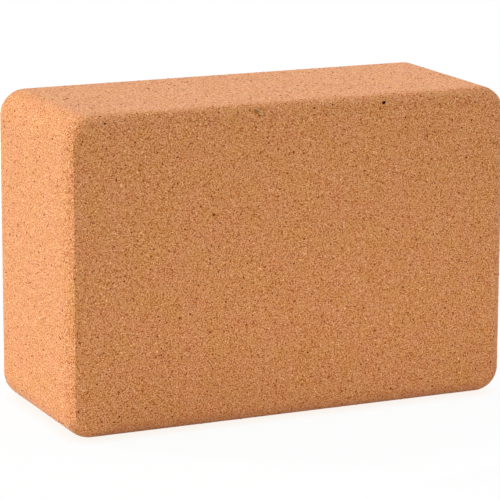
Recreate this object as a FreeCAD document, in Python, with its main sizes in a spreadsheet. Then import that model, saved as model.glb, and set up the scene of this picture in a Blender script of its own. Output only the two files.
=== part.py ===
import FreeCAD, Part
import Sketcher
import math
import os
from collections import namedtuple

# A yoga block of pressed cork: fine cork crumb and binder, moulded, cut and rounded on every edge.
# The coarse granules in the crumb lie bonded in seats of their own shape, sanded flush with the
# faces: brown bark, pale clean cork and one grey bark chip. Open pores stay empty.
# X runs along the block, Y through its depth and Z up. The origin is the middle of its base.

DIMENSIONS = (
    ("block_length", "228.6"),
    ("block_depth", "101.6"),
    ("block_height", "152.4"),
    ("edge_radius", "12.7"),
    ("bark_length", "2.2"),
    ("bark_width", "1.5"),
    ("bark_depth", "1.6"),
    ("pale_length", "1.9"),
    ("pale_width", "1.3"),
    ("pale_depth", "1.2"),
    ("chip_length", "4.6"),
    ("chip_width", "3.0"),
    ("chip_depth", "2.0"),
    ("pore_length", "2.6"),
    ("pore_width", "1.4"),
    ("pore_depth", "1.3"),
    ("overrun", "0.5"),
)

# The flat stretch of each face, between its rounded edges.
FLAT_SPANS = {
    "x": "(sizes.block_length - 2 * sizes.edge_radius)",
    "y": "(sizes.block_depth - 2 * sizes.edge_radius)",
    "z": "(sizes.block_height - 2 * sizes.edge_radius)",
}

# How far the middle of a rounded edge lies inside its two faces, as a share of the edge radius.
ROUND_INSET_SHARE = 1 - math.sqrt(0.5)

# A face's middle, the two axes that places on it are counted along, and its outward direction.
Face = namedtuple("Face", "middle along across outward")

FACES = {
    "front": Face(
        {"x": "0", "y": "-sizes.block_depth / 2", "z": "sizes.block_height / 2"},
        "x", "z", (0, -1, 0),
    ),
    "back": Face(
        {"x": "0", "y": "sizes.block_depth / 2", "z": "sizes.block_height / 2"},
        "x", "z", (0, 1, 0),
    ),
    "left_end": Face(
        {"x": "-sizes.block_length / 2", "y": "0", "z": "sizes.block_height / 2"},
        "y", "z", (-1, 0, 0),
    ),
    "right_end": Face(
        {"x": "sizes.block_length / 2", "y": "0", "z": "sizes.block_height / 2"},
        "y", "z", (1, 0, 0),
    ),
    "top": Face(
        {"x": "0", "y": "0", "z": "sizes.block_height"},
        "x", "y", (0, 0, 1),
    ),
    "base": Face(
        {"x": "0", "y": "0", "z": "0"},
        "x", "y", (0, 0, -1),
    ),
    "top_front_edge": Face(
        {
            "x": "0",
            "y": f"-sizes.block_depth / 2 + sizes.edge_radius * {ROUND_INSET_SHARE}",
            "z": f"sizes.block_height - sizes.edge_radius * {ROUND_INSET_SHARE}",
        },
        "x", None, (0, -1, 1),
    ),
}

# Places are shares of a face's flat spans, counted from its middle: along it, then across it.
FRONT_BARK_SHARES = (
    (0.03, -0.35), (0.28, 0.48), (-0.45, 0.37), (-0.22, 0.03), (-0.29, -0.31),
    (-0.22, -0.23), (-0.35, 0.46), (-0.01, 0.42), (-0.18, -0.12), (0.34, -0.28),
    (0.43, 0.46), (-0.46, -0.01), (-0.21, 0.21), (0.17, -0.42), (0.22, 0.16),
)
FRONT_PALE_SHARES = (
    (-0.39, 0.17), (-0.15, -0.02), (-0.07, -0.24), (-0.05, 0.28), (-0.44, -0.20),
    (-0.11, 0.09), (-0.36, 0.05), (0.40, 0.11), (-0.32, -0.39), (0.41, -0.06),
    (0.27, 0.29), (0.12, 0.05), (0.24, -0.13),
)
FRONT_PORE_SHARES = ((0.35, 0.35), (-0.27, 0.33), (0.09, -0.16), (-0.42, -0.41))
EDGE_CHIP_SHARES = ((-0.09, 0),)
EDGE_PORE_SHARES = ((0.23, 0), (0.05, 0), (-0.47, 0))

# The other faces carry granules in an even scatter: bark first, then pale ones, then open pores.
BROAD_FACE_COUNTS = (15, 13, 4)
END_FACE_COUNTS = (6, 5, 2)
NARROW_FACE_COUNTS = (9, 8, 3)
SCATTER_COUNTS = {
    "back": BROAD_FACE_COUNTS,
    "left_end": END_FACE_COUNTS,
    "right_end": END_FACE_COUNTS,
    "top": NARROW_FACE_COUNTS,
    "base": NARROW_FACE_COUNTS,
}
SCATTER_STEP_SHARES = (0.7549, 0.5698)
MIDDLE_SHARE = 0.5

# Granules differ in size, in how far they narrow inwards and in how they are turned on the face.
SIZE_SHARES = (1.0, 0.8, 1.15, 0.9, 0.7)
NARROWING_SHARES = (0.6, 0.75, 0.5, 0.7)
FIRST_TURN_DEGREES = 20
TURN_STEP_DEGREES = 137.5

# The node that each kind of granule goes into. An open pore has none.
NODE_NAMES = {
    "bark": "{face}_bark_granules",
    "pale": "{face}_pale_granules",
    "chip": "grey_bark_chip",
}


def make_sheet(document):
    """Write the driving dimensions into a sheet, one named cell each."""
    sheet = document.addObject("Spreadsheet::Sheet", "sizes")
    for row, (name, millimetres) in enumerate(DIMENSIONS, start=1):
        sheet.set(f"A{row}", name)
        sheet.set(f"B{row}", millimetres)
        sheet.setAlias(f"B{row}", name)
    document.recompute()
    return sheet


def draw_outline(sketch, sheet):
    """Draw the block's rectangle about the origin and tie its two sides to the sheet."""
    half_length = sheet.block_length / 2
    half_depth = sheet.block_depth / 2
    signs = ((-1, -1), (1, -1), (1, 1), (-1, 1))
    corners = [FreeCAD.Vector(sx * half_length, sy * half_depth, 0) for sx, sy in signs]
    for number, corner in enumerate(corners):
        following = corners[(number + 1) % len(corners)]
        sketch.addGeometry(Part.LineSegment(corner, following), False)
    start, end = 1, 2
    origin = (-1, start)
    for number in range(len(corners)):
        following = (number + 1) % len(corners)
        sketch.addConstraint(Sketcher.Constraint("Coincident", number, end, following, start))
    for number, direction in enumerate(("Horizontal", "Vertical", "Horizontal", "Vertical")):
        sketch.addConstraint(Sketcher.Constraint(direction, number))
    sketch.addConstraint(Sketcher.Constraint("Symmetric", 0, start, 2, start, *origin))
    sides = (
        ("block_length", "DistanceX", 0, sheet.block_length),
        ("block_depth", "DistanceY", 1, sheet.block_depth),
    )
    for name, kind, side, value in sides:
        index = sketch.addConstraint(Sketcher.Constraint(kind, side, start, side, end, value))
        sketch.renameConstraint(index, name)
        sketch.setExpression(f"Constraints.{name}", f"sizes.{name}")


def make_pressed_block(document, sheet):
    """The whole block before its granules are parted from it: a padded outline, all edges rounded."""
    body = document.addObject("PartDesign::Body", "pressed_block")
    ground = next(plane for plane in body.Origin.OriginFeatures if plane.Role == "XY_Plane")
    outline = body.newObject("Sketcher::SketchObject", "outline")
    outline.AttachmentSupport = [(ground, "")]
    outline.MapMode = "FlatFace"
    draw_outline(outline, sheet)
    pressing = body.newObject("PartDesign::Pad", "pressing")
    pressing.Profile = outline
    pressing.setExpression("Length", "sizes.block_height")
    document.recompute()
    rounding = body.newObject("PartDesign::Fillet", "rounding")
    rounding.Base = (pressing, [""])
    rounding.UseAllEdges = True
    rounding.setExpression("Radius", "sizes.edge_radius")
    document.recompute()
    return body


def facing(face, turn_degrees):
    """The turn that stands a granule's own Y axis along the face's outward direction."""
    axes = {"x": FreeCAD.Vector(1, 0, 0), "y": FreeCAD.Vector(0, 1, 0), "z": FreeCAD.Vector(0, 0, 1)}
    outward = FreeCAD.Vector(*face.outward).normalize()
    along = axes[face.along]
    standing = FreeCAD.Rotation(along, outward, along.cross(outward), "YXZ")
    return standing.multiply(FreeCAD.Rotation(axes["y"], turn_degrees))


def make_seat(document, kind, face_name, number, place_shares):
    """One tapered seat for a granule or a pore, reaching out of its face by the overrun."""
    face = FACES[face_name]
    size_share = SIZE_SHARES[number % len(SIZE_SHARES)]
    narrowing_share = NARROWING_SHARES[number % len(NARROWING_SHARES)]
    turn_degrees = FIRST_TURN_DEGREES + TURN_STEP_DEGREES * number
    seat = document.addObject("Part::Wedge", f"{kind}_seat_{face_name}_{number}")
    seat.Placement = FreeCAD.Placement(FreeCAD.Vector(), facing(face, turn_degrees))
    shifts = dict(zip((face.along, face.across), place_shares))
    for axis, middle in face.middle.items():
        place = middle
        if axis in shifts:
            place = f"{middle} + {shifts[axis]} * {FLAT_SPANS[axis]}"
        seat.setExpression(f"Placement.Base.{axis}", place)
    seat.setExpression("Ymin", f"-sizes.{kind}_depth * {size_share}")
    seat.setExpression("Ymax", "sizes.overrun")
    for axis, side in (("X", "length"), ("Z", "width")):
        half = f"sizes.{kind}_{side} * {size_share} / 2"
        seat.setExpression(f"{axis}2min", f"-{half}")
        seat.setExpression(f"{axis}2max", half)
        seat.setExpression(f"{axis}min", f"-{half} * {narrowing_share}")
        seat.setExpression(f"{axis}max", f"{half} * {narrowing_share}")
    return seat


def make_seats(document, kind, face_name, places_shares):
    """The seats of one kind on one face, in one group."""
    seats = [
        make_seat(document, kind, face_name, number, place_shares)
        for number, place_shares in enumerate(places_shares)
    ]
    group = document.addObject("Part::Compound", f"{kind}_seats_{face_name}")
    group.Links = seats
    return group


def scattered(first, count):
    """An even scatter of places over a face, each one fixed step on from the place before."""
    along_step_share, across_step_share = SCATTER_STEP_SHARES
    return [
        (
            number * along_step_share % 1 - MIDDLE_SHARE,
            number * across_step_share % 1 - MIDDLE_SHARE,
        )
        for number in range(first, first + count)
    ]


def list_places():
    """Say where every granule and pore lies: its kind and face, then the places there."""
    places = {
        ("bark", "front"): FRONT_BARK_SHARES,
        ("pale", "front"): FRONT_PALE_SHARES,
        ("pore", "front"): FRONT_PORE_SHARES,
        ("chip", "top_front_edge"): EDGE_CHIP_SHARES,
        ("pore", "top_front_edge"): EDGE_PORE_SHARES,
    }
    for face_name, counts in SCATTER_COUNTS.items():
        first = 1
        for kind, count in zip(("bark", "pale", "pore"), counts):
            places[kind, face_name] = scattered(first, count)
            first += count
    return places


def make_granules(document, block, seats, node_name):
    """The granules that fill a group of seats: what the seats and the pressed block share."""
    granules = document.addObject("Part::Common", node_name)
    granules.Label = node_name
    granules.Base = block
    granules.Tool = seats
    return granules


def make_cork_block(document, block, seat_groups):
    """The crumb itself: the pressed block less every granule's seat and every open pore."""
    all_seats = document.addObject("Part::Compound", "all_seats")
    all_seats.Links = [seat for group in seat_groups for seat in group.Links]
    crumb = document.addObject("Part::Cut", "cork_block")
    crumb.Label = "cork_block"
    crumb.Base = block
    crumb.Tool = all_seats
    return crumb


def check_document(document, solid_counts):
    """Stop if any step failed, or if a piece has not the solids that it should have."""
    for item in document.Objects:
        if {"Invalid", "Error"} & set(item.State):
            raise RuntimeError(f"{item.Label} did not compute: {item.State}")
    for node, wanted in solid_counts:
        if node.Shape.isNull() or not node.Shape.isValid():
            raise RuntimeError(f"{node.Label} has no valid shape")
        found = len(node.Shape.Solids)
        if found != wanted:
            raise RuntimeError(f"{node.Label} has {found} solids, not {wanted}")


doc = FreeCAD.newDocument("cork_yoga_block")
sizes = make_sheet(doc)
pressed_block = make_pressed_block(doc, sizes)

groups = []
nodes = []
for (kind, face_name), places_shares in list_places().items():
    seats = make_seats(doc, kind, face_name, places_shares)
    groups.append(seats)
    if kind in NODE_NAMES:
        node_name = NODE_NAMES[kind].format(face=face_name)
        nodes.append((make_granules(doc, pressed_block, seats, node_name), len(places_shares)))
nodes.append((make_cork_block(doc, pressed_block, groups), 1))
doc.recompute()
check_document(doc, nodes)

os.makedirs("parts", exist_ok=True)
for node, solid_count in nodes:
    node.Shape.exportStep(f"parts/{node.Label}.step")
    print(node.Label, solid_count, "solids,", round(node.Shape.Volume, 2), "cubic mm")
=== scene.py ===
# %% [markdown]
# # A yoga block of pressed cork
# The real object is ground cork bark, mixed with a binder, pressed hard in a mould, cut to a block,
# rounded along every edge and sanded. Nothing on it moves. What the eye reads as cork is the crumb:
# millions of grains, each cut open by the sanding and each with a tint of its own, with a few coarse
# bark granules, pale granules and open pores among them.
#
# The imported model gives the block, its coarse granules and its pores at their real size. This lesson
# grows the surface that the light falls on, piece by piece, always where the model says.

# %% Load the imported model
import math

import bmesh
import bpy
import numpy as np
from mathutils import Matrix, Vector


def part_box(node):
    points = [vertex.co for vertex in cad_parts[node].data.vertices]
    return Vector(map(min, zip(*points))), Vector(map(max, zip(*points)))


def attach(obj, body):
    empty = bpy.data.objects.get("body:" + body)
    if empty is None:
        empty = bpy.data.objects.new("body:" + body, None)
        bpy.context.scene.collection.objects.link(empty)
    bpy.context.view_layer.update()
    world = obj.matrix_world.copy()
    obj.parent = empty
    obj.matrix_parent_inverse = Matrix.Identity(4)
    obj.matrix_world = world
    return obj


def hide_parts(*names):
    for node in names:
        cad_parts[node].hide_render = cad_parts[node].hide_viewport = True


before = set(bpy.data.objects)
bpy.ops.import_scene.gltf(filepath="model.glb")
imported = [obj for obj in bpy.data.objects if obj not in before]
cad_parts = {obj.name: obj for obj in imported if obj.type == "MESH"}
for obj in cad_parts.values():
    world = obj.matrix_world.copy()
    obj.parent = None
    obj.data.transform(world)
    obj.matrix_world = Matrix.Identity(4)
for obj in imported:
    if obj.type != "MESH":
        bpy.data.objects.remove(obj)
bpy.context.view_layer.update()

MM = 0.001
block_low, block_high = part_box("cork_block")
block_size = block_high - block_low
block_centre = (block_low + block_high) / 2
print("block in mm:", [round(side / MM, 2) for side in block_size])
print("packed nodes:", len(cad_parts))

# %% [markdown]
# ## The camera
# A product photographer stands well back with a long lens, so that the block's edges stay nearly
# parallel. The place and the turn of that camera were worked out from the block's corners in the
# photograph, with the lens given as a focal length in pixels of a 500 pixel frame. A camera could be
# aimed with a Track To constraint, but a plain matrix keeps the small roll that the photograph has.

# %% Set up the camera
IMAGE_SIDE_PX = 500
FOCAL_PX = 2927.3
SENSOR_WIDTH_MM = 36.0
CAMERA_PLACE = Vector((-581.9, -1264.6, 385.2)) * MM
CAMERA_YAW = math.radians(24.674)
CAMERA_PITCH = math.radians(12.683)
CAMERA_ROLL = math.radians(0.232)

scene = bpy.context.scene
scene.view_settings.view_transform = "Standard"

camera_data = bpy.data.cameras.new("photo_camera")
camera_data.sensor_width = SENSOR_WIDTH_MM
camera_data.lens = FOCAL_PX * SENSOR_WIDTH_MM / IMAGE_SIDE_PX
camera = bpy.data.objects.new("photo_camera", camera_data)
scene.collection.objects.link(camera)
camera.matrix_world = (
    Matrix.Translation(CAMERA_PLACE)
    @ Matrix.Rotation(-CAMERA_YAW, 4, "Z")
    @ Matrix.Rotation(math.pi / 2 - CAMERA_PITCH, 4, "X")
    @ Matrix.Rotation(CAMERA_ROLL, 4, "Z")
)
scene.camera = camera


def pixel_of(point):
    """Where a point of the model falls in the 500 pixel image."""
    seen = camera.matrix_world.inverted() @ Vector(point)
    middle = IMAGE_SIDE_PX / 2
    return middle - FOCAL_PX * seen.x / seen.z, middle + FOCAL_PX * seen.y / seen.z


near_corner = (block_low.x, block_low.y, block_low.z)
print("near bottom corner falls at", [round(side, 1) for side in pixel_of(near_corner)])

# %% [markdown]
# ## Helpers for node trees
# Both the finishes and the shapes below are node trees. Blender adds a node, sets its choices and
# wires its inputs in three separate steps, so one small helper does all three. An input that is given
# a socket is wired to it, and any other value is typed into it.


# %% Node helpers
def add_node(tree, kind, inputs=None, **choices):
    """Add one node, set its choices, and wire or type each of its inputs."""
    made = tree.nodes.new(kind)
    for name, choice in choices.items():
        setattr(made, name, choice)
    for key, value in (inputs or {}).items():
        if isinstance(value, bpy.types.NodeSocket):
            tree.links.new(value, made.inputs[key])
        else:
            made.inputs[key].default_value = value
    return made


def maths(tree, operation, *values):
    """One Math node; the result is its output socket."""
    return add_node(tree, "ShaderNodeMath", dict(enumerate(values)), operation=operation).outputs[0]


def vectors(tree, operation, *values):
    """One Vector Math node; the result is its vector output."""
    return add_node(tree, "ShaderNodeVectorMath", dict(enumerate(values)), operation=operation).outputs[0]


def scaled(tree, vector, factor):
    """A vector times a number."""
    inputs = {"Vector": vector, "Scale": factor}
    return add_node(tree, "ShaderNodeVectorMath", inputs, operation="SCALE").outputs[0]


def mixed(tree, factor, first, second, blend="MIX"):
    """Two colours mixed by a factor; the result is the colour output."""
    made = add_node(tree, "ShaderNodeMix", {0: factor, 6: first, 7: second}, data_type="RGBA")
    made.blend_type = blend
    return made.outputs[2]


def ramp(tree, factor, stops):
    """A colour ramp through (place, colour) stops; the result is the colour output."""
    made = add_node(tree, "ShaderNodeValToRGB", {"Fac": factor})
    elements = made.color_ramp.elements
    while len(elements) < len(stops):
        elements.new(1.0)
    for element, (place, colour) in zip(elements, stops):
        element.position = place
        element.color = (*colour, 1.0)
    return made.outputs["Color"]


print("node helpers ready")

# %% [markdown]
# ## Floor, surroundings and lamps
# The photograph is a product shot on white. One fairly hard key lamp stands to the left, behind and above,
# so the left end and the top are bright and the front is in its own shade. A soft box overhead leads the
# light of the top gently over the rounded front edge. White surroundings fill the shade, and a low strip
# of white card on the floor throws some light back at the lower front.
#
# White paper could be made by pouring on light, but that would bleach the cork. Light Path's Is Camera
# Ray lets the floor and the world look white to the camera while they light the cork at a plain level.
# The floor keeps a share of its own shading, so the block still stands on a soft shadow. Close to the
# block an Ambient Occlusion node paints a warm glow and a little shade into the white that the camera
# sees: painted bounce light from the cork and a painted contact shadow.

# %% White world
SURROUND_LIGHT = 0.48
WHITE = (1.0, 1.0, 1.0, 1.0)


def seen_directly(tree):
    """One where the camera looks, also by way of a mirror or glass, and nought for light on the cork."""
    path = add_node(tree, "ShaderNodeLightPath").outputs
    seen = maths(tree, "MAXIMUM", path["Is Camera Ray"], path["Is Glossy Ray"])
    return maths(tree, "MAXIMUM", seen, path["Is Transmission Ray"])


world = bpy.data.worlds.new("white_surroundings")
scene.world = world
world.use_nodes = True
world_tree = world.node_tree
world_tree.nodes.clear()
shown_white = seen_directly(world_tree)
strength = maths(world_tree, "MULTIPLY_ADD", shown_white, 1.0 - SURROUND_LIGHT, SURROUND_LIGHT)
backdrop = add_node(world_tree, "ShaderNodeBackground", {"Color": WHITE, "Strength": strength})
add_node(world_tree, "ShaderNodeOutputWorld", {"Surface": backdrop.outputs[0]})
print("surroundings light the cork at", SURROUND_LIGHT)

# %% Pale floor
FLOOR_SIDE = 6.0
FLOOR_GAP = 0.3 * MM
FLOOR_WHITE = 0.86
FLOOR_SHADOW_SHARE = 0.05
# Painted bounce light and contact shadow: the white near the block is tinted towards this warm colour.
PAINTED_BOUNCE_GLOW = (1.0, 0.935, 0.87)
CONTACT_REACH = 6.0 * MM


def make_floor():
    """A white floor that keeps a soft share of the block's shadow."""
    material = bpy.data.materials.new("floor_paper")
    material.use_nodes = True
    tree = material.node_tree
    tree.nodes.clear()
    paper = add_node(tree, "ShaderNodeBsdfDiffuse", {"Color": (FLOOR_WHITE,) * 3 + (1.0,)}).outputs[0]
    # Painted bounce light and contact shadow: the less open the floor near the block, the more of the warm
    # tint.
    openness = add_node(tree, "ShaderNodeAmbientOcclusion", {"Distance": CONTACT_REACH}).outputs["AO"]
    painted_glow = mixed(tree, openness, (*PAINTED_BOUNCE_GLOW, 1.0), WHITE)
    white = add_node(tree, "ShaderNodeEmission", {"Color": painted_glow}).outputs[0]
    share = maths(tree, "MULTIPLY", seen_directly(tree), 1.0 - FLOOR_SHADOW_SHARE)
    look = add_node(tree, "ShaderNodeMixShader", {0: share, 1: paper, 2: white}).outputs[0]
    add_node(tree, "ShaderNodeOutputMaterial", {"Surface": look})

    reach = FLOOR_SIDE / 2
    level = block_low.z - FLOOR_GAP
    around = ((-reach, -reach), (reach, -reach), (reach, reach), (-reach, reach))
    corners = [(x, y, level) for x, y in around]
    mesh = bpy.data.meshes.new("floor")
    mesh.from_pydata(corners, [], [(0, 1, 2, 3)])
    mesh.materials.append(material)
    floor = bpy.data.objects.new("floor", mesh)
    scene.collection.objects.link(floor)
    return floor


print("floor at", round(make_floor().data.vertices[0].co.z / MM, 2), "mm")

# %% Lamps
KEY_TOWARDS = Vector((-0.696, 0.604, 0.352)).normalized()
KEY_LIGHT = 0.834
KEY_SPREAD = math.radians(14.0)
SOFTBOX_TOWARDS = Vector((0.0, 0.05, 1.0)).normalized()
SOFTBOX_LIGHT = 0.31
SOFTBOX_SPREAD = math.radians(60.0)
SUN_DISTANCE = 1.5
CARD_PLACE = Vector((0.03, -0.17, 0.02))
CARD_LIGHT = 0.11
CARD_WIDTH = 0.26
CARD_HEIGHT = 0.03


def add_lamp(name, kind, towards, distance):
    """A lamp that stands in a direction from the block's middle and points back at it."""
    data = bpy.data.lights.new(name, kind)
    lamp = bpy.data.objects.new(name, data)
    turn = towards.to_track_quat("Z", "Y").to_matrix().to_4x4()
    lamp.matrix_world = Matrix.Translation(block_centre + towards * distance) @ turn
    scene.collection.objects.link(lamp)
    return data


def add_sun(name, towards, light, spread):
    """A far lamp that gives a face turned to it this much light, over this spread of directions."""
    data = add_lamp(name, "SUN", towards, SUN_DISTANCE)
    data.energy = math.pi * light
    data.angle = spread
    return data


key = add_sun("key_lamp", KEY_TOWARDS, KEY_LIGHT, KEY_SPREAD)
softbox = add_sun("softbox_lamp", SOFTBOX_TOWARDS, SOFTBOX_LIGHT, SOFTBOX_SPREAD)
card_reach = CARD_PLACE - block_centre
card = add_lamp("card_lamp", "AREA", card_reach.normalized(), card_reach.length)
card.shape = "RECTANGLE"
card.size = CARD_WIDTH
card.size_y = CARD_HEIGHT
card.energy = CARD_LIGHT * (math.pi * card_reach.length) ** 2
print("key", round(key.energy, 2), "and soft box", round(softbox.energy, 2), "W/m2")
print("card", round(card.energy, 3), "W")

# %% [markdown]
# ## The cork finish
# Sanding cuts the crumb open, so the surface is a slice through packed grains. A solid Voronoi pattern
# is just such a packing, and read in object coordinates it runs through the edges without a seam, as
# the real crumb does. An image could not turn the corners like that.
#
# Two packings, crumb and dust, carry the tints. A coarser one darkens the gaps between its grains, and a
# fourth holds a few bits of bark and clean cork. A slow noise drifts the hue, because the bark comes from
# many trees. The grains' domes and gaps also feed the bump and the roughness.
#
# A face that lies just between two layers of a packing would look flat, and one through the middle of a
# layer too lively. So Mapping nodes shift two of the packings, and every face cuts them part way.

# %% Cork colours and grain sizes
CORK_DARK = (0.42, 0.06, 0.001)
CORK_MIDDLE = (0.69, 0.272, 0.0745)
CORK_PALE = (0.98, 0.58, 0.32)
CORK_DUST = (0.20, 0.012, 0.0)
# Painted shade colour for the open pores, laid on by depth.
PAINTED_PORE_SHADE = (0.14, 0.022, 0.002)
CRUMB_SIZE = 0.20 * MM
DUST_SIZE = 0.12 * MM
COARSE_SIZE = 0.70 * MM
MOTTLE_SIZE = 12.0 * MM
CRUMB_SHIFT = Vector((0.10, 0.10, 0.10)) * MM
COARSE_SHIFT = Vector((-0.15, 0.05, 0.20)) * MM


def grains(tree, place, size):
    """A packing of grains of one size: their distance and colour outputs."""
    made = add_node(tree, "ShaderNodeTexVoronoi", {"Vector": place, "Scale": 1.0 / size})
    return made.outputs["Distance"], made.outputs["Color"]


def channels(tree, colour):
    """The three chance numbers that a grain's colour holds."""
    return add_node(tree, "ShaderNodeSeparateColor", {"Color": colour}).outputs


def start_finish(name):
    """A material with a Principled shader: the tree, the shader and the object coordinates."""
    material = bpy.data.materials.new(name)
    material.use_nodes = True
    tree = material.node_tree
    tree.nodes.clear()
    shader = add_node(tree, "ShaderNodeBsdfPrincipled")
    add_node(tree, "ShaderNodeOutputMaterial", {"Surface": shader.outputs[0]})
    place = add_node(tree, "ShaderNodeTexCoord").outputs["Object"]
    return material, tree, shader, place


def moved(tree, place, shift):
    """Coordinates moved by a Mapping node."""
    return add_node(tree, "ShaderNodeMapping", {"Vector": place, "Location": shift}).outputs[0]


def set_roughness(tree, shader, number, limits):
    """Spread the roughness between two limits by a number from nought to one."""
    inputs = {"Value": number, "To Min": limits[0], "To Max": limits[1]}
    spread = add_node(tree, "ShaderNodeMapRange", inputs).outputs[0]
    tree.links.new(spread, shader.inputs["Roughness"])


def set_bump(tree, shader, height, relief, invert=False):
    """Give the shader a bump of this relief; inverted, a greater height lies deeper."""
    inputs = {"Strength": 1.0, "Distance": relief, "Height": height}
    bump = add_node(tree, "ShaderNodeBump", inputs, invert=invert)
    tree.links.new(bump.outputs[0], shader.inputs["Normal"])


print("crumb of", round(CRUMB_SIZE / MM, 2), "mm")

# %% Pressed cork
CRUMB_SHARE = 0.235
DUST_SHARE = 0.10
GAP_SHARE = -0.60
TINT_START = 0.663
TINT_STOPS = (0.26, 0.5, 0.9)
DARK_GRAIN_SHARE = 0.02
BIT_SIZE = 0.425 * MM
BARK_BIT = (0.26, 0.008, 0.0)
BARK_BIT_SHARE = 0.020
PALE_BIT = (1.0, 0.64, 0.37)
PALE_BIT_SHARE = 0.030
OLIVE_TINT = (0.985, 1.005, 0.91)
ROSY_TINT = (1.015, 0.995, 1.07)
HUE_STOPS = [(0.35, OLIVE_TINT), (0.65, ROSY_TINT)]
MOTTLE_DETAIL = 2.0
CORK_RELIEF = 0.02 * MM
COARSE_RELIEF_SHARE = 0.8
DUST_RELIEF_SHARE = 0.35
CORK_ROUGHNESS = (0.68, 0.9)
CORK_SPECULAR = 0.15
CORK_SHEEN = 0.14
CORK_SHEEN_ROUGHNESS = 0.45
PORE_SHADE_START = 0.1 * MM
PORE_SHADE_DEPTH = 0.5 * MM


def make_cork_finish():
    """Sanded granulated cork: tinted grains, dark dust, drifting hue, low relief."""
    material, tree, shader, place = start_finish("pressed_cork_finish")
    crumb_gap, crumb_colour = grains(tree, moved(tree, place, CRUMB_SHIFT), CRUMB_SIZE)
    dust_gap, dust_colour = grains(tree, place, DUST_SIZE)
    coarse_gap = grains(tree, moved(tree, place, COARSE_SHIFT), COARSE_SIZE)[0]
    crumb = channels(tree, crumb_colour)
    dust = channels(tree, dust_colour)
    bits = channels(tree, grains(tree, place, BIT_SIZE)[1])

    tint = maths(tree, "MULTIPLY_ADD", crumb[0], CRUMB_SHARE, TINT_START)
    tint = maths(tree, "MULTIPLY_ADD", dust[0], DUST_SHARE, tint)
    tint = maths(tree, "MULTIPLY_ADD", coarse_gap, GAP_SHARE, tint)
    colour = ramp(tree, tint, list(zip(TINT_STOPS, (CORK_DARK, CORK_MIDDLE, CORK_PALE))))

    mottle_inputs = {"Vector": place, "Scale": 1.0 / MOTTLE_SIZE, "Detail": MOTTLE_DETAIL}
    mottle = add_node(tree, "ShaderNodeTexNoise", mottle_inputs).outputs[0]
    colour = mixed(tree, 1.0, colour, ramp(tree, mottle, HUE_STOPS), "MULTIPLY")

    odd_grains = [(crumb[1], DARK_GRAIN_SHARE, CORK_DUST)]
    odd_grains += [(bits[0], BARK_BIT_SHARE, BARK_BIT), (bits[1], PALE_BIT_SHARE, PALE_BIT)]
    for number, odd_share, odd_colour in odd_grains:
        colour = mixed(tree, maths(tree, "LESS_THAN", number, odd_share), colour, (*odd_colour, 1.0))
    # Painted shade in the open pores: the deeper a point lies under the surface, the darker its colour.
    depth = add_node(tree, "ShaderNodeAttribute", attribute_name="depth").outputs["Fac"]
    pore_inputs = {"Value": depth, "From Min": PORE_SHADE_START, "From Max": PORE_SHADE_DEPTH}
    pore = add_node(tree, "ShaderNodeMapRange", pore_inputs).outputs[0]
    colour = mixed(tree, pore, colour, (*PAINTED_PORE_SHADE, 1.0))
    tree.links.new(colour, shader.inputs["Base Color"])
    shader.inputs["Specular IOR Level"].default_value = CORK_SPECULAR
    shader.inputs["Sheen Weight"].default_value = CORK_SHEEN
    shader.inputs["Sheen Roughness"].default_value = CORK_SHEEN_ROUGHNESS

    set_roughness(tree, shader, crumb[2], CORK_ROUGHNESS)
    gaps = maths(tree, "MULTIPLY_ADD", coarse_gap, COARSE_RELIEF_SHARE, crumb_gap)
    gaps = maths(tree, "MULTIPLY_ADD", dust_gap, DUST_RELIEF_SHARE, gaps)
    set_bump(tree, shader, gaps, CORK_RELIEF, invert=True)
    return material


pressed_cork = make_cork_finish()
print(pressed_cork.name, "has", len(pressed_cork.node_tree.nodes), "nodes")

# %% [markdown]
# ## Bark and pale granule finishes
# Brown bark granules are the hard outer skin of the cork, ground with the rest. Pale granules are clean
# cork from the middle of a plank. Each granule has a tint of its own, which the shape trees below store
# on it as a number called tint. A fine noise breaks the tint up, so that no granule is one flat colour.

# %% Granule finishes
GRANULE_GRAIN = 0.45 * MM
GRANULE_GRAIN_DETAIL = 3.0
GRANULE_RELIEF = 0.03 * MM
GRANULE_SPECULAR = 0.05
GRANULE_STOPS = (0.1, 0.5, 0.9)
OWN_TINT_SHARE = 0.6
GRAIN_TINT_SHARE = 0.8
GRAIN_TINT_START = -0.2
BARK_TINTS = [(0.11, 0.008, 0.0), (0.21, 0.020, 0.0), (0.32, 0.048, 0.0)]
BARK_ROUGHNESS = (0.6, 0.8)
PALE_TINTS = [(0.92, 0.46, 0.19), (1.0, 0.56, 0.27), (1.0, 0.64, 0.36)]
PALE_ROUGHNESS = (0.7, 0.9)


def make_granule_finish(name, tints, roughness):
    """A granule's cut face: its own tint, broken up by fine grain, with a low rough relief."""
    material, tree, shader, place = start_finish(name)
    own_tint = add_node(tree, "ShaderNodeAttribute", attribute_name="tint").outputs["Fac"]
    grain_inputs = {"Vector": place, "Scale": 1.0 / GRANULE_GRAIN, "Detail": GRANULE_GRAIN_DETAIL}
    grain = add_node(tree, "ShaderNodeTexNoise", grain_inputs).outputs[0]
    tint = maths(tree, "MULTIPLY_ADD", grain, GRAIN_TINT_SHARE, GRAIN_TINT_START)
    tint = maths(tree, "MULTIPLY_ADD", own_tint, OWN_TINT_SHARE, tint)
    colour = ramp(tree, tint, list(zip(GRANULE_STOPS, tints)))
    tree.links.new(colour, shader.inputs["Base Color"])
    shader.inputs["Specular IOR Level"].default_value = GRANULE_SPECULAR
    set_roughness(tree, shader, grain, roughness)
    set_bump(tree, shader, grain, GRANULE_RELIEF)
    return material


brown_bark = make_granule_finish("brown_bark_finish", BARK_TINTS, BARK_ROUGHNESS)
pale_cork = make_granule_finish("pale_cork_finish", PALE_TINTS, PALE_ROUGHNESS)
print("granule finishes:", [finish.name for finish in (brown_bark, pale_cork)])

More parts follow.
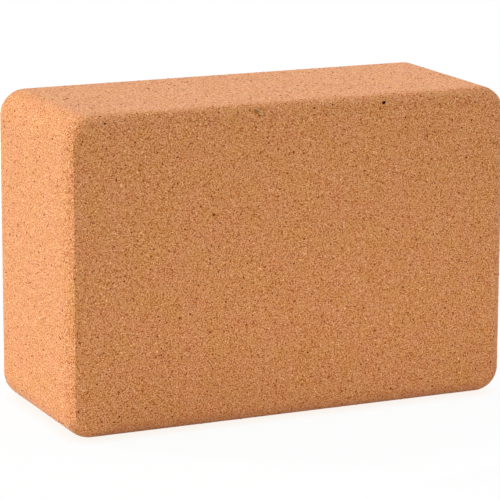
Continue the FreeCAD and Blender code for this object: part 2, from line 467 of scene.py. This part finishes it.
# %% [markdown]
# ## Reading the granules and pores from the model
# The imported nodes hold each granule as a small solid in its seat. A copy of a node's loose triangles is
# merged, each island is one granule, and its middle, lie and size are measured there. The block's own
# mesh holds all the seats. A seat with no granule in it is an open pore. On a round beside the front
# the surface is drawn up to a millimetre further out than the plain model's, as told below at the block,
# so a place there rises straight out by as much.

# %% Measure the places
EDGE_RADIUS = 12.7 * MM
MERGE_DISTANCE = 0.001 * MM
SEAT_DEPTH = 0.6 * MM
SAME_PLACE = 1.5 * MM
FRONT_CUT = 1.06 * MM
FACING = 0.999  # a direction with this much of one axis belongs to a flat face
core_half = block_size / 2 - Vector((EDGE_RADIUS,) * 3)


def nearest_on_block(point):
    """The rounded block's surface nearest to a point, and the surface's direction outwards there."""
    rest = np.asarray(point) - np.asarray(block_centre)
    core = np.clip(rest, -np.asarray(core_half), np.asarray(core_half))
    out = (rest - core) / np.linalg.norm(rest - core)
    return np.asarray(block_centre) + core + EDGE_RADIUS * out, out


def depth_of(vertex):
    """How far a point lies from the rounded block's surface."""
    return np.linalg.norm(vertex.co - Vector(nearest_on_block(vertex.co)[0]))


def islands_of(node_name, deeper_than=None):
    """A node's connected groups of points. With a depth, only the deeper points and their mouths."""
    mesh = bmesh.new()
    mesh.from_mesh(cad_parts[node_name].data)
    bmesh.ops.remove_doubles(mesh, verts=mesh.verts, dist=MERGE_DISTANCE)
    waiting = set(mesh.verts)
    if deeper_than is not None:
        waiting = {vertex for vertex in waiting if depth_of(vertex) > deeper_than}
    groups = []
    for start in sorted(waiting, key=lambda v: v.index):
        if start not in waiting:
            continue
        waiting.discard(start)
        group, todo = [], [start]
        while todo:
            vertex = todo.pop()
            group.append(vertex)
            for other in (edge.other_vert(vertex) for edge in vertex.link_edges):
                if other in waiting:
                    waiting.discard(other)
                    todo.append(other)
        mouth = {edge.other_vert(vertex) for vertex in group for edge in vertex.link_edges} - set(group)
        groups.append(np.array([vertex.co for vertex in [*group, *sorted(mouth, key=lambda v: v.index)]]))
    mesh.free()
    return groups


def place_of(points):
    """A granule's place on the surface, its direction outwards, its long direction and its size."""
    on_surface, out = nearest_on_block(points.mean(axis=0))
    if -FACING < out[1] < 0.0:
        on_surface = on_surface - out * out[1] * FRONT_CUT
    flat = points - points.mean(axis=0)
    flat = flat - np.outer(flat @ out, out)
    along = np.linalg.svd(flat)[2][0]
    across = np.cross(out, along)
    size = [np.ptp(points @ direction) for direction in (along, across, out)]
    return {"place": on_surface, "out": out, "along": along, "size": size}


granule_places = {
    name: [place_of(points) for points in islands_of(name)]
    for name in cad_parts
    if name != "cork_block"
}
filled = np.array([spot["place"] for spots in granule_places.values() for spot in spots])
seats = [place_of(points) for points in islands_of("cork_block", SEAT_DEPTH)]
pore_places = [
    seat for seat in seats if np.linalg.norm(filled - seat["place"], axis=1).min() > SAME_PLACE
]
print("granules:", len(filled), "seats:", len(seats), "open pores:", len(pore_places))

# %% [markdown]
# ## The grey chip's finish
# One chip of the weathered outer bark lies on the rounded front top edge. It is olive grey, and a dark
# scar crosses its upper left end. A Mapping node moves the origin of the pattern to the chip's middle, and
# a product with the scar's direction then says how far a point lies from the scar. A ramp over that
# distance lays down scar and bark, and the crumb's grain breaks both up.

# %% Grey chip finish
CHIP_GRAIN = 0.62 * MM
CHIP_SPAN = 2.1 * MM
SCAR_SWAY = 0.8 * MM
SCAR_TURN = math.radians(25.0)
CHIP_HALO = (0.68, 0.28, 0.09)
CHIP_SCAR = (0.40, 0.14, 0.03)
CHIP_GREY = (0.49, 0.265, 0.118)
CHIP_TAN = (0.64, 0.28, 0.095)
CHIP_STOPS = [(0.00, CHIP_HALO), (0.06, CHIP_SCAR), (0.20, CHIP_SCAR)]
CHIP_STOPS += [(0.34, CHIP_GREY), (0.60, CHIP_GREY), (0.80, CHIP_TAN)]
GRAIN_SHADE = (0.62, 0.52, 0.40)
GRAIN_LIGHT = (1.38, 1.48, 1.60)
GRAIN_STOPS = [(0.1, GRAIN_SHADE), (0.9, GRAIN_LIGHT)]
CHIP_ROUGHNESS = (0.65, 0.85)
ALONG_EDGE = np.array((1.0, 0.0, 0.0))
chip_spot = granule_places["grey_bark_chip"][0]


def up_the_edge(spot):
    """The direction across an edge that lies along X, in the surface and upwards."""
    return np.cross(spot["out"], ALONG_EDGE)


def slanted(spot, turn):
    """The direction in the surface that leaves the edge's own by this turn."""
    return math.cos(turn) * ALONG_EDGE + math.sin(turn) * up_the_edge(spot)


def make_chip_finish(spot):
    """Weathered bark with a scar across its end, centred on the chip."""
    material, tree, shader, place = start_finish("grey_bark_finish")
    centred = moved(tree, place, tuple(-spot["place"]))
    product = {0: centred, 1: tuple(slanted(spot, SCAR_TURN))}
    far = add_node(tree, "ShaderNodeVectorMath", product, operation="DOT_PRODUCT").outputs["Value"]
    sway = add_node(tree, "ShaderNodeTexNoise", {"Vector": centred, "Scale": 1.0 / SCAR_SWAY}).outputs[0]
    far = maths(tree, "ADD", far, maths(tree, "MULTIPLY_ADD", sway, SCAR_SWAY, -SCAR_SWAY / 2))
    span = {"Value": far, "From Min": -CHIP_SPAN, "From Max": CHIP_SPAN}
    span = add_node(tree, "ShaderNodeMapRange", span).outputs[0]
    colour = ramp(tree, span, CHIP_STOPS)
    grain_gap, grain_colour = grains(tree, place, CHIP_GRAIN)
    grain = channels(tree, grain_colour)
    shade = ramp(tree, grain[0], GRAIN_STOPS)
    tree.links.new(mixed(tree, 1.0, colour, shade, "MULTIPLY"), shader.inputs["Base Color"])
    shader.inputs["Specular IOR Level"].default_value = GRANULE_SPECULAR
    set_roughness(tree, shader, grain[1], CHIP_ROUGHNESS)
    set_bump(tree, shader, grain_gap, GRANULE_RELIEF, invert=True)
    return material


grey_bark = make_chip_finish(chip_spot)
print("the chip lies at", [round(side / MM, 1) for side in chip_spot["place"]], "mm")

# %% [markdown]
# ## Growing pieces with Geometry Nodes
# Each shape below follows a rule, so each is a Geometry Nodes tree with named inputs. A tree runs as a
# modifier on an empty mesh. Its result is then kept as a plain mesh, because the finished part carries
# meshes and not modifiers. Inputs are set by their identifiers before the tree first runs.

# %% Tree helpers
FLOAT = "NodeSocketFloat"
INTEGER = "NodeSocketInt"
OBJECT = "NodeSocketObject"
MATERIAL = "NodeSocketMaterial"
PLACE_LAYERS = ("out", "along", "size")


def start_tree(name, inputs):
    """A tree with these named inputs and one mesh output: the tree, its input and output nodes."""
    tree = bpy.data.node_groups.new(name, "GeometryNodeTree")
    for label, kind in inputs.items():
        tree.interface.new_socket(label, in_out="INPUT", socket_type=kind)
    tree.interface.new_socket("Mesh", in_out="OUTPUT", socket_type="NodeSocketGeometry")
    return tree, add_node(tree, "NodeGroupInput").outputs, add_node(tree, "NodeGroupOutput")


def add_places(name, spots):
    """A helper object of loose points that carry each spot's directions and size."""
    mesh = bpy.data.meshes.new(name)
    mesh.from_pydata([tuple(spot["place"]) for spot in spots], [], [])
    for layer_name in PLACE_LAYERS:
        layer = mesh.attributes.new(layer_name, "FLOAT_VECTOR", "POINT")
        values = np.array([spot[layer_name] for spot in spots], np.float32)
        layer.data.foreach_set("vector", values.ravel())
    holder = bpy.data.objects.new(name, mesh)
    scene.collection.objects.link(holder)
    return holder


def grow(piece_name, tree, settings):
    """Run a tree once and keep what it grows as a plain mesh piece at the origin."""
    piece = bpy.data.objects.new(piece_name, bpy.data.meshes.new(piece_name))
    scene.collection.objects.link(piece)
    modifier = piece.modifiers.new(tree.name, "NODES")
    modifier.node_group = tree
    for item in tree.interface.items_tree:
        if item.in_out == "INPUT":
            modifier[item.identifier] = settings[item.name]
    graph = bpy.context.evaluated_depsgraph_get()
    mesh = bpy.data.meshes.new_from_object(piece.evaluated_get(graph), depsgraph=graph)
    piece.modifiers.remove(modifier)
    mesh.materials.clear()
    mesh.materials.append(settings["Finish"])
    for layer_name in PLACE_LAYERS:
        if layer_name in mesh.attributes:
            mesh.attributes.remove(mesh.attributes[layer_name])
    mesh.name = piece_name
    piece.data = mesh
    mesh.calc_loop_triangles()
    print(piece_name, "has", len(mesh.loop_triangles), "triangles")
    return piece


def drop(holder):
    """Remove a helper object that no piece needs any more."""
    bpy.data.objects.remove(holder)


print("a place keeps its", " and ".join(PLACE_LAYERS))

# %% [markdown]
# The shape trees share a few small steps: reading a stored value, taking a vector apart and putting it
# together, making copies into plain geometry, and storing a number for a finish to read. Each could be
# wired by hand in every tree, but with a short function for each the trees below read as sentences.


# %% Helpers for fields and geometry
def named_vector(tree, name):
    """A stored direction or size, read by its name."""
    made = add_node(tree, "GeometryNodeInputNamedAttribute", {"Name": name}, data_type="FLOAT_VECTOR")
    return made.outputs["Attribute"]


def own_position(tree):
    """The place of the point that a field is worked out for."""
    return add_node(tree, "GeometryNodeInputPosition").outputs[0]


def parts_of(tree, vector):
    """A vector's X, Y and Z outputs."""
    return add_node(tree, "ShaderNodeSeparateXYZ", {0: vector}).outputs


def joined(tree, **parts):
    """A vector made of the parts that are given, with nought for the others."""
    inputs = {"XYZ".index(axis): value for axis, value in parts.items()}
    return add_node(tree, "ShaderNodeCombineXYZ", inputs).outputs[0]


def object_mesh(tree, holder):
    """The mesh of an object that is given as an input."""
    return add_node(tree, "GeometryNodeObjectInfo", {"Object": holder}).outputs["Geometry"]


def realized(tree, copies):
    """Copies turned into plain geometry."""
    return add_node(tree, "GeometryNodeRealizeInstances", {"Geometry": copies}).outputs[0]


def stored(tree, geometry, name, value, domain):
    """The geometry with a number stored on it for its finish to read."""
    inputs = {"Geometry": geometry, "Name": name, "Value": value}
    choices = {"data_type": "FLOAT", "domain": domain}
    return add_node(tree, "GeometryNodeStoreNamedAttribute", inputs, **choices).outputs[0]


def end_tree(tree, result, shape, finish):
    """Set the material and hand the shape to the tree's output."""
    shape = add_node(tree, "GeometryNodeSetMaterial", {"Geometry": shape, "Material": finish}).outputs[0]
    tree.links.new(shape, result.inputs[0])


print("field and geometry helpers ready")

# %% [markdown]
# ## A granule, and how it lies in the surface
# A granule is a rough lump that the sanding belt has cut flat. Its tree starts from an icosphere with
# the top pressed down to a flat, lays one on every place, and then shakes all the points with a noise
# that reads their own position. So no two granules are alike, and a low face count is enough.

# %% Granule lump
MIDDLE_OF_NOISE = (0.5, 0.5, 0.5)


def standing(tree, out):
    """A turn that stands Z along the direction outwards."""
    return add_node(tree, "FunctionNodeAlignRotationToVector", {"Vector": out}, axis="Z").outputs[0]


def lying(tree):
    """The turn of a measured place: Z stands outwards and X lies along the long direction."""
    turned = {"Rotation": standing(tree, named_vector(tree, "out")), "Vector": named_vector(tree, "along")}
    choices = {"axis": "X", "pivot_axis": "Z"}
    return add_node(tree, "FunctionNodeAlignRotationToVector", turned, **choices).outputs[0]


def lump(tree, subdivisions, flat_height):
    """An icosphere of radius one with everything above the flat height pressed down to it."""
    ball = add_node(tree, "GeometryNodeMeshIcoSphere", {"Radius": 1.0, "Subdivisions": subdivisions})
    parts = parts_of(tree, own_position(tree))
    low = maths(tree, "MINIMUM", parts["Z"], flat_height)
    pressed = joined(tree, X=parts["X"], Y=parts["Y"], Z=low)
    inputs = {"Geometry": ball.outputs["Mesh"], "Position": pressed}
    return add_node(tree, "GeometryNodeSetPosition", inputs).outputs[0]


def shaken(tree, geometry, amount, size, seed):
    """The geometry with every point moved a little by a noise of its own position."""
    inputs = {"Vector": own_position(tree), "W": seed, "Scale": maths(tree, "DIVIDE", 1.0, size)}
    noise = add_node(tree, "ShaderNodeTexNoise", inputs, noise_dimensions="4D").outputs["Color"]
    sway = vectors(tree, "SUBTRACT", noise, MIDDLE_OF_NOISE)
    move = {"Geometry": geometry, "Offset": scaled(tree, sway, amount)}
    return add_node(tree, "GeometryNodeSetPosition", move).outputs[0]


def chance(tree, low, high, seed):
    """A random number between two limits for each point or copy."""
    inputs = {2: low, 3: high, 8: seed}
    return add_node(tree, "FunctionNodeRandomValue", inputs, data_type="FLOAT").outputs[1]


print("granule helpers ready")

# %% [markdown]
# ## The pressed block
# The block itself follows a rule: a box whose every edge and corner is rounded to one radius. A Bevel
# modifier could do that, but a grid of points pulled onto the rounded form by a formula gives evenly
# spaced points to carry the relief. Each point keeps its nearest point in the core of the block and
# moves out from there by the edge radius.
#
# The belt that flattened the front came after the rounding and went a millimetre deeper, so every round
# beside the front meets it in a line. The formula grows the block that much deeper and then stops all
# points at the front plane. The front left upright edge lost more: the left end bends in slowly there,
# along a wide arc, and this fades back to the plain round at both corners.

# %% The cut upright edge
CORNER_SHARE = 0.85


def cut_edge(tree, away, radius, arc, width):
    """The upright edge that the belt has cut: its reach out of the core, and where it takes over."""
    side = parts_of(tree, away)
    size = parts_of(tree, vectors(tree, "ABSOLUTE", away))
    straight = maths(tree, "SUBTRACT", radius, width)
    beyond = maths(tree, "MAXIMUM", maths(tree, "SUBTRACT", size["Y"], straight), 0.0)
    squares = maths(tree, "SUBTRACT", maths(tree, "POWER", arc, 2.0), maths(tree, "POWER", beyond, 2.0))
    sunk = maths(tree, "SUBTRACT", arc, maths(tree, "SQRT", squares))
    kept = maths(tree, "SUBTRACT", 1.0, maths(tree, "DIVIDE", sunk, radius))
    flat = joined(tree, X=maths(tree, "MULTIPLY", side["X"], kept), Y=side["Y"], Z=side["Z"])
    slant = joined(tree, X=radius, Y=side["Z"])
    span = add_node(tree, "ShaderNodeVectorMath", {0: slant}, operation="LENGTH").outputs["Value"]
    reach = scaled(tree, flat, maths(tree, "DIVIDE", radius, span))

    fade = {"Value": size["Z"], "To Min": 1.0, "To Max": 0.0}
    fade["From Max"] = maths(tree, "MULTIPLY", radius, CORNER_SHARE)
    share = add_node(tree, "ShaderNodeMapRange", fade, interpolation_type="SMOOTHSTEP").outputs[0]
    for axis in ("X", "Y"):
        share = maths(tree, "MULTIPLY", share, maths(tree, "LESS_THAN", side[axis], 0.0))
    return reach, share


print("the cut edge fades out over", round(CORNER_SHARE * EDGE_RADIUS / MM, 1), "mm at its ends")


# %% Rounding the box
def nearest_inside(tree, point, core):
    """The point of the core nearest to a point; the core is given by its two corners."""
    low, high = core
    return vectors(tree, "MINIMUM", vectors(tree, "MAXIMUM", point, low), high)


def box_grid(tree, size, pitch):
    """A box whose faces are grids of about this pitch."""
    grid_inputs = {"Size": size}
    sides = parts_of(tree, size)
    for axis in "XYZ":
        grid_inputs["Vertices " + axis] = maths(tree, "CEIL", maths(tree, "DIVIDE", sides[axis], pitch))
    return add_node(tree, "GeometryNodeMeshCube", grid_inputs).outputs["Mesh"]


def rounded_form(tree, size, given):
    """Where a point of the box goes, its direction outwards, and the core before the front was cut."""
    radius = given["Edge Radius"]
    position = own_position(tree)
    high = vectors(tree, "SUBTRACT", scaled(tree, size, 0.5), joined(tree, X=radius, Y=radius, Z=radius))
    low = scaled(tree, high, -1.0)
    inner = nearest_inside(tree, position, (low, high))
    away = vectors(tree, "SUBTRACT", position, inner)
    reach, share = cut_edge(tree, away, radius, given["Cut Edge Arc"], given["Cut Edge Width"])
    taken_off = joined(tree, Y=given["Front Cut"])
    upright = vectors(tree, "SUBTRACT", vectors(tree, "ADD", inner, reach), taken_off)

    core = (vectors(tree, "SUBTRACT", low, taken_off), high)
    inner = nearest_inside(tree, position, core)
    out = vectors(tree, "NORMALIZE", vectors(tree, "SUBTRACT", position, inner))
    plain = vectors(tree, "ADD", inner, scaled(tree, out, radius))
    blend = {0: share, 4: plain, 5: upright}
    uncut = add_node(tree, "ShaderNodeMix", blend, data_type="VECTOR").outputs[1]
    return vectors(tree, "MAXIMUM", uncut, scaled(tree, size, -0.5)), out, core


print("the front is cut", round(FRONT_CUT / MM, 2), "mm deeper than the rounds")

# %% [markdown]
# ## Relief, pores and depth
# The relief is low and only goes inwards, because the sanding belt leaves the tops of the granules in
# one plane. The open pores are holes that granules have left, so rough lumps are taken away from the
# block with a Boolean. Each point then keeps its depth under the sanded surface as a number called
# depth, and the finish paints shade into the pores by it, darker the deeper a point lies.

# %% Relief, pores and depth
PORE_SUBDIVISIONS = 2
UNPRESSED = 1.0


def packed_relief(tree, shape, out, given):
    """The shape drawn in along its outward direction by a packing of granules."""
    packing_inputs = {"W": given["Seed"], "Scale": maths(tree, "DIVIDE", 1.0, given["Granule Size"])}
    packing = add_node(tree, "ShaderNodeTexVoronoi", packing_inputs, voronoi_dimensions="4D")
    inwards = maths(tree, "MULTIPLY", given["Relief"], -1.0)
    sunk = maths(tree, "MULTIPLY", packing.outputs["Distance"], inwards)
    move = {"Geometry": shape, "Offset": scaled(tree, out, sunk)}
    return add_node(tree, "GeometryNodeSetPosition", move).outputs[0]


def without_pores(tree, shape, given):
    """The shape with a rough lump taken away at every pore's place."""
    lumps = {"Points": object_mesh(tree, given["Pores"]), "Rotation": lying(tree)}
    lumps |= {"Instance": lump(tree, PORE_SUBDIVISIONS, UNPRESSED), "Scale": named_vector(tree, "size")}
    cutter = realized(tree, add_node(tree, "GeometryNodeInstanceOnPoints", lumps).outputs[0])
    cutter = shaken(tree, cutter, given["Pore Roughness"], given["Pore Roughness"], given["Seed"])
    meshes = {"Mesh 1": shape, "Mesh 2": cutter}
    choices = {"operation": "DIFFERENCE", "solver": "MANIFOLD"}
    return add_node(tree, "GeometryNodeMeshBoolean", meshes, **choices).outputs["Mesh"]


def depth_under(tree, place, core, given):
    """How deep a place of the block lies under the rounds and the front plane."""
    ends = {0: place, 1: nearest_inside(tree, place, core)}
    reach = add_node(tree, "ShaderNodeVectorMath", ends, operation="DISTANCE").outputs["Value"]
    behind = maths(tree, "MULTIPLY_ADD", given["Depth"], 0.5, parts_of(tree, place)["Y"])
    depth = maths(tree, "MINIMUM", maths(tree, "SUBTRACT", given["Edge Radius"], reach), behind)
    return maths(tree, "MAXIMUM", depth, 0.0)


print("relief, pore and depth helpers ready")


# %% Tree of the pressed block
def make_block_tree():
    """A rounded box with granule relief and open pores."""
    inputs = {"Length": FLOAT, "Depth": FLOAT, "Height": FLOAT, "Edge Radius": FLOAT, "Pitch": FLOAT}
    inputs |= {"Front Cut": FLOAT, "Cut Edge Arc": FLOAT, "Cut Edge Width": FLOAT, "Sharp Angle": FLOAT}
    inputs |= {"Relief": FLOAT, "Granule Size": FLOAT, "Pore Roughness": FLOAT, "Base Level": FLOAT}
    inputs |= {"Seed": INTEGER, "Pores": OBJECT, "Finish": MATERIAL}
    tree, given, result = start_tree("pressed block", inputs)

    size = joined(tree, X=given["Length"], Y=given["Depth"], Z=given["Height"])
    rounded, out, core = rounded_form(tree, size, given)
    grid = {"Geometry": box_grid(tree, size, given["Pitch"]), "Position": rounded}
    shape = add_node(tree, "GeometryNodeSetPosition", grid).outputs[0]
    shape = packed_relief(tree, shape, out, given)

    half_height = maths(tree, "MULTIPLY_ADD", given["Height"], 0.5, given["Base Level"])
    lifted = {"Geometry": shape, "Translation": joined(tree, Z=half_height)}
    shape = add_node(tree, "GeometryNodeTransform", lifted).outputs[0]
    shape = without_pores(tree, shape, given)
    place = vectors(tree, "SUBTRACT", own_position(tree), lifted["Translation"])
    shape = stored(tree, shape, "depth", depth_under(tree, place, core, given), "POINT")

    shape = add_node(tree, "GeometryNodeSetShadeSmooth", {"Geometry": shape}).outputs[0]
    angle = add_node(tree, "GeometryNodeInputMeshEdgeAngle").outputs["Unsigned Angle"]
    soft = {"Geometry": shape, "Shade Smooth": maths(tree, "LESS_THAN", angle, given["Sharp Angle"])}
    shape = add_node(tree, "GeometryNodeSetShadeSmooth", soft, domain="EDGE").outputs[0]
    end_tree(tree, result, realized(tree, shape), given["Finish"])
    return tree


block_tree = make_block_tree()
print(block_tree.name, "tree has", len(block_tree.nodes), "nodes")

# %% Grow the pressed block
SURFACE_PITCH = 1.26 * MM
SURFACE_RELIEF = 0.06 * MM
RELIEF_GRANULE = 2.6 * MM
CUT_EDGE_ARC = 30.0 * MM
CUT_EDGE_WIDTH = 12.36 * MM
SHARP_ANGLE = math.radians(13.0)
BLOCK_SEED = 3
PORE_ROUGHNESS = 0.3 * MM
OPEN_ON_FACE = 0.55
OPEN_ON_EDGE = (0.65, 0.80, 1.30)
EDGE_PORE_TURN = math.radians(43.0)


def open_pore(spot, open_share):
    """Turn a seat's whole size into the half sizes and the depth of the lump that opens the pore."""
    along, across, deep = (side * open_share for side in spot["size"])
    spot["size"] = [along / 2, across / 2, deep]


face_pores = [spot for spot in pore_places if np.abs(spot["out"]).max() > FACING]
edge_pores = [spot for spot in pore_places if np.abs(spot["out"]).max() <= FACING]
edge_pores.sort(key=lambda spot: spot["place"][0])
for spot in face_pores:
    open_pore(spot, OPEN_ON_FACE)
for spot, open_share in zip(edge_pores, OPEN_ON_EDGE):
    open_pore(spot, open_share)
    spot["along"] = slanted(spot, EDGE_PORE_TURN)
print("pores on the faces:", len(face_pores), "and on the front top edge:", len(edge_pores))
pore_points = add_places("pore_places", face_pores + edge_pores)
cork_block = grow(
    "cork_block_surface",
    block_tree,
    {
        "Length": block_size.x,
        "Depth": block_size.y,
        "Height": block_size.z,
        "Edge Radius": EDGE_RADIUS,
        "Front Cut": FRONT_CUT,
        "Cut Edge Arc": CUT_EDGE_ARC,
        "Cut Edge Width": CUT_EDGE_WIDTH,
        "Sharp Angle": SHARP_ANGLE,
        "Pitch": SURFACE_PITCH,
        "Relief": SURFACE_RELIEF,
        "Granule Size": RELIEF_GRANULE,
        "Pore Roughness": PORE_ROUGHNESS,
        "Base Level": block_low.z,
        "Seed": BLOCK_SEED,
        "Pores": pore_points,
        "Finish": pressed_cork,
    },
)
drop(pore_points)
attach(cork_block, "root")
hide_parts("cork_block")

# %% [markdown]
# ## Coarse granules in their seats
# The model groups the coarse granules by kind and by face, and each group becomes one piece here. The
# same tree lays them all. A granule stands a hair proud of the cork, because bark is harder than crumb
# and the belt wears it less.


# %% Tree of the seated granules
def tinted_copies(tree, copies, given, seed_step):
    """Lumps on points, each with a tint of its own, made into one mesh and shaken."""
    shape = add_node(tree, "GeometryNodeInstanceOnPoints", copies).outputs[0]
    tint = chance(tree, 0.0, 1.0, maths(tree, "ADD", given["Seed"], seed_step))
    shape = realized(tree, stored(tree, shape, "tint", tint, "INSTANCE"))
    return shaken(tree, shape, given["Roughness"], given["Roughness"], given["Seed"])


def make_granule_tree():
    """One shaken, flat-topped lump on every measured place."""
    inputs = {"Places": OBJECT, "Smallest": FLOAT, "Largest": FLOAT, "Flat Height": FLOAT}
    inputs |= {"Roughness": FLOAT, "Seed": INTEGER, "Subdivisions": INTEGER, "Finish": MATERIAL}
    tree, given, result = start_tree("seated granules", inputs)
    copies = {"Points": object_mesh(tree, given["Places"]), "Rotation": lying(tree)}
    copies["Instance"] = lump(tree, given["Subdivisions"], given["Flat Height"])
    spread = chance(tree, given["Smallest"], given["Largest"], given["Seed"])
    copies["Scale"] = scaled(tree, named_vector(tree, "size"), spread)
    shape = tinted_copies(tree, copies, given, seed_step=1.0)
    end_tree(tree, result, shape, given["Finish"])
    return tree


granule_tree = make_granule_tree()
print(granule_tree.name, "tree has", len(granule_tree.nodes), "nodes")

# %% Grow the seated granules
HALF = 0.5
CHIP_SIZE = 1.6
GRANULE_SETTINGS = {"Smallest": 0.55 * HALF, "Largest": 0.70 * HALF, "Flat Height": 0.25}
GRANULE_SETTINGS |= {"Roughness": 0.35 * MM, "Subdivisions": 2}
CHIP_SETTINGS = {"Smallest": CHIP_SIZE * HALF, "Largest": CHIP_SIZE * HALF, "Flat Height": 0.15}
CHIP_SETTINGS |= {"Roughness": 1.0 * MM, "Subdivisions": 3}
granule_kinds = {
    "bark_granules": ("brown_bark", GRANULE_SETTINGS | {"Finish": brown_bark}),
    "pale_granules": ("pale_cork", GRANULE_SETTINGS | {"Finish": pale_cork}),
    "grey_bark_chip": ("grey_bark", CHIP_SETTINGS | {"Finish": grey_bark}),
}
for seed, (node_name, spots) in enumerate(sorted(granule_places.items())):
    ending = next(kind for kind in granule_kinds if node_name.endswith(kind))
    slot_name, settings = granule_kinds[ending]
    points = add_places(node_name + "_places", spots)
    piece = grow(node_name + "_seated", granule_tree, settings | {"Places": points, "Seed": seed})
    drop(points)
    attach(piece, "root")
    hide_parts(node_name)

# %% [markdown]
# ## Finer flecks
# Between the coarse granules the eye catches thousands of finer ones: bark flecks under a millimetre,
# and pale flecks of clean cork. They are scattered over the grown block itself with Distribute Points on
# Faces, whose Poisson spacing keeps them from piling up, so they follow the rounded edges by themselves.


# %% Tree of the flecks
FLECK_SUBDIVISIONS = 1
FULL_TURN = 2.0 * math.pi
NARROWEST = 0.5
UP = (0.0, 0.0, 1.0)


def any_turn(tree, out, seed):
    """A turn that stands Z outwards and spins about it by chance."""
    spin = {"Axis": UP, "Angle": chance(tree, 0.0, FULL_TURN, seed)}
    spun = add_node(tree, "FunctionNodeAxisAngleToRotation", spin).outputs[0]
    turn = {"Rotation": standing(tree, out), "Rotate By": spun}
    return add_node(tree, "FunctionNodeRotateRotation", turn, rotation_space="LOCAL").outputs[0]


def make_fleck_tree():
    """Low flat-topped lumps scattered over a surface."""
    inputs = {"Surface": OBJECT, "Spacing": FLOAT, "Density": FLOAT, "Smallest": FLOAT, "Largest": FLOAT}
    inputs |= {"Flat Height": FLOAT, "Thickness": FLOAT, "Roughness": FLOAT}
    inputs |= {"Seed": INTEGER, "Finish": MATERIAL}
    tree, given, result = start_tree("scattered flecks", inputs)
    scatter = {"Mesh": object_mesh(tree, given["Surface"]), "Distance Min": given["Spacing"]}
    scatter |= {"Density Max": given["Density"], "Seed": given["Seed"]}
    choices = {"distribute_method": "POISSON"}
    points = add_node(tree, "GeometryNodeDistributePointsOnFaces", scatter, **choices).outputs

    size = chance(tree, given["Smallest"], given["Largest"], maths(tree, "ADD", given["Seed"], 1.0))
    narrow = chance(tree, NARROWEST, 1.0, maths(tree, "ADD", given["Seed"], 2.0))
    width = maths(tree, "MULTIPLY", size, narrow)
    thick = maths(tree, "MULTIPLY", size, given["Thickness"])
    copies = {"Points": points["Points"], "Instance": lump(tree, FLECK_SUBDIVISIONS, given["Flat Height"])}
    copies["Rotation"] = any_turn(tree, points["Normal"], given["Seed"])
    copies["Scale"] = joined(tree, X=size, Y=width, Z=thick)
    shape = tinted_copies(tree, copies, given, seed_step=3.0)
    end_tree(tree, result, shape, given["Finish"])
    return tree


fleck_tree = make_fleck_tree()
print(fleck_tree.name, "tree has", len(fleck_tree.nodes), "nodes")

# %% Grow the flecks
PER_SQUARE_MM = 1.0 / MM**2
FLECK_SETTINGS = {"Surface": cork_block, "Spacing": 2.0 * MM, "Roughness": 0.22 * MM}
FLECK_SETTINGS |= {"Flat Height": 0.45, "Thickness": 0.45}
BARK_FLECKS = {"Density": 0.018 * PER_SQUARE_MM, "Smallest": 0.28 * MM, "Largest": 0.60 * MM, "Seed": 21}
PALE_FLECKS = {"Density": 0.010 * PER_SQUARE_MM, "Smallest": 0.26 * MM, "Largest": 0.56 * MM, "Seed": 31}
fleck_kinds = {
    "fine_bark_flecks": ("brown_bark", BARK_FLECKS | {"Finish": brown_bark}),
    "fine_pale_flecks": ("pale_cork", PALE_FLECKS | {"Finish": pale_cork}),
}
for piece_name, (slot_name, settings) in fleck_kinds.items():
    piece = grow(piece_name, fleck_tree, FLECK_SETTINGS | settings)
    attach(piece, "root")
